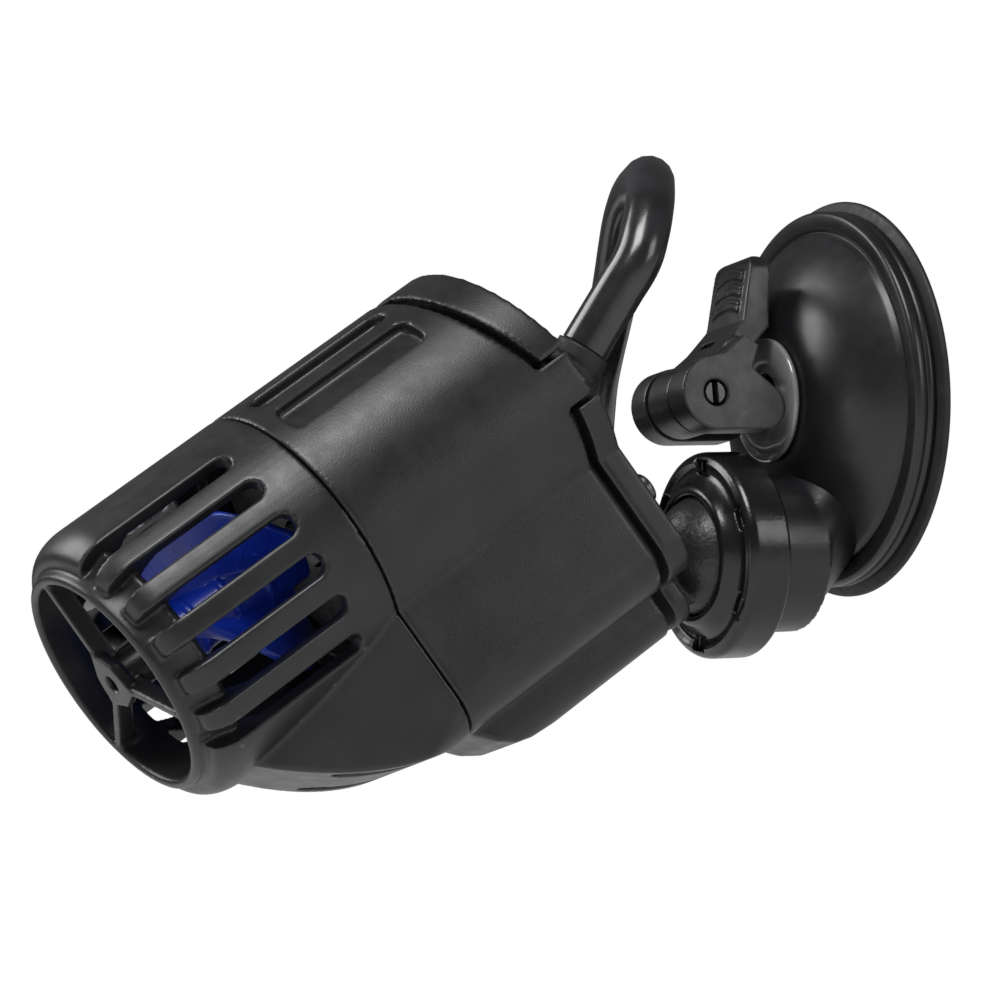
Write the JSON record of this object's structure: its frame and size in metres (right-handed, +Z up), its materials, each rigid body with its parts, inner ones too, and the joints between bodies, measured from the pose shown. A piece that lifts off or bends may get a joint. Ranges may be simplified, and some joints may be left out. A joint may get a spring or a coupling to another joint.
{
  "type": "wave maker pump",
  "caption": "Submersible wave maker pump with a slotted intake cage, a propeller and a ball joint on a lever-locked suction mount.",
  "frame": {"origin": "centre of the suction face, on the wall", "axes": "+Y into the wall, so the pump stands off towards -Y; +Z up; X along the lever's pin"},
  "size_m": [0.1669, 0.1288, 0.0906],
  "materials": {
    "satin_black": "satin moulded plastic with a fine spark texture",
    "gloss_black": "smooth semi-gloss",
    "blue_plastic": "smooth moulded plastic",
    "black_rubber": "smooth soft rubber",
    "grey_plastic": "smooth",
    "ferrite": "matt ceramic magnet",
    "steel": "stainless",
    "core_steel": "laminated",
    "copper_winding": "enamelled wire",
    "white_plastic": "moulded",
    "resin": "cast",
    "ceramic": "polished",
    "brass": "plain"
  },
  "bodies": {
    "base": {"suction_disc": "black_rubber", "base_bell": "satin_black", "seat_ring": "grey_plastic"},
    "stem": {"pull_stem": "gloss_black", "lever_pin": "gloss_black"},
    "lever": {"cam_lever": "gloss_black"},
    "nut": {"clamp_nut": "gloss_black"},
    "socket": {"socket_pad": "black_rubber"},
    "ball": {"ball_stud": "gloss_black"},
    "pump": {"motor_housing": "satin_black", "rear_cap": "satin_black", "cap_screw_left": "steel", "cap_screw_right": "steel", "stator_core": "core_steel", "coil_spool": "white_plastic", "coil_winding": "copper_winding", "potting_plate": "resin", "rear_bush": "black_rubber", "well_cover": "satin_black", "well_seal": "black_rubber", "strain_relief": "black_rubber", "power_lead": "gloss_black", "lead_coil": "gloss_black", "lead_tail": "gloss_black", "coil_tie": "black_rubber", "plug_body": "black_rubber", "plug_pin_left": "brass", "plug_pin_right": "brass"},
    "rotor": {"rotor_shaft": "ceramic", "rotor_magnet": "ferrite", "drive_collar": "white_plastic", "propeller": "blue_plastic", "propeller_cap": "blue_plastic"},
    "cage": {"front_cage": "satin_black", "cage_bush": "black_rubber"}
  },
  "joints": [
    {"name": "stem_pull", "type": "slide", "parent": "base", "child": "stem", "axis": [0, 1, 0], "range_m": [0, 0.00236]},
    {"name": "lever_flip", "type": "hinge", "parent": "stem", "child": "lever", "pos_m": [0, -0.0272, 0], "axis": [1, 0, 0], "range_deg": [0, 90]},
    {"name": "nut_turn", "type": "hinge", "parent": "base", "child": "nut", "pos_m": [0, -0.025, -0.0231], "axis": [0, -1, 0], "range_deg": [0, 120]},
    {"name": "ball_pan", "type": "hinge", "parent": "base", "child": "socket", "pos_m": [0, -0.025, -0.0231], "axis": [0, 1, 0], "range_deg": [-25, 25]},
    {"name": "ball_tilt", "type": "hinge", "parent": "socket", "child": "ball", "pos_m": [0, -0.025, -0.0231], "axis": [0.9979, 0, -0.0644], "range_deg": [-12, 5]},
    {"name": "pump_spin", "type": "hinge", "parent": "ball", "child": "pump", "pos_m": [0, -0.025, -0.0231], "axis": [-0.0341, -0.8483, -0.5284], "range_deg": [-20, 6]},
    {"name": "rotor_spin", "type": "hinge", "parent": "pump", "child": "rotor", "pos_m": [-0.00474, -0.08557, -0.01696], "axis": [-0.0341, -0.8483, -0.5284], "continuous": true},
    {"name": "cage_pull", "type": "slide", "parent": "pump", "child": "cage", "axis": [-0.0341, -0.8483, -0.5284], "range_m": [0, 0.045]}
  ],
  "couplings": [
    {"joint": "stem_pull", "follows": "lever_flip", "m_per_rad": 0.0015}
  ]
}
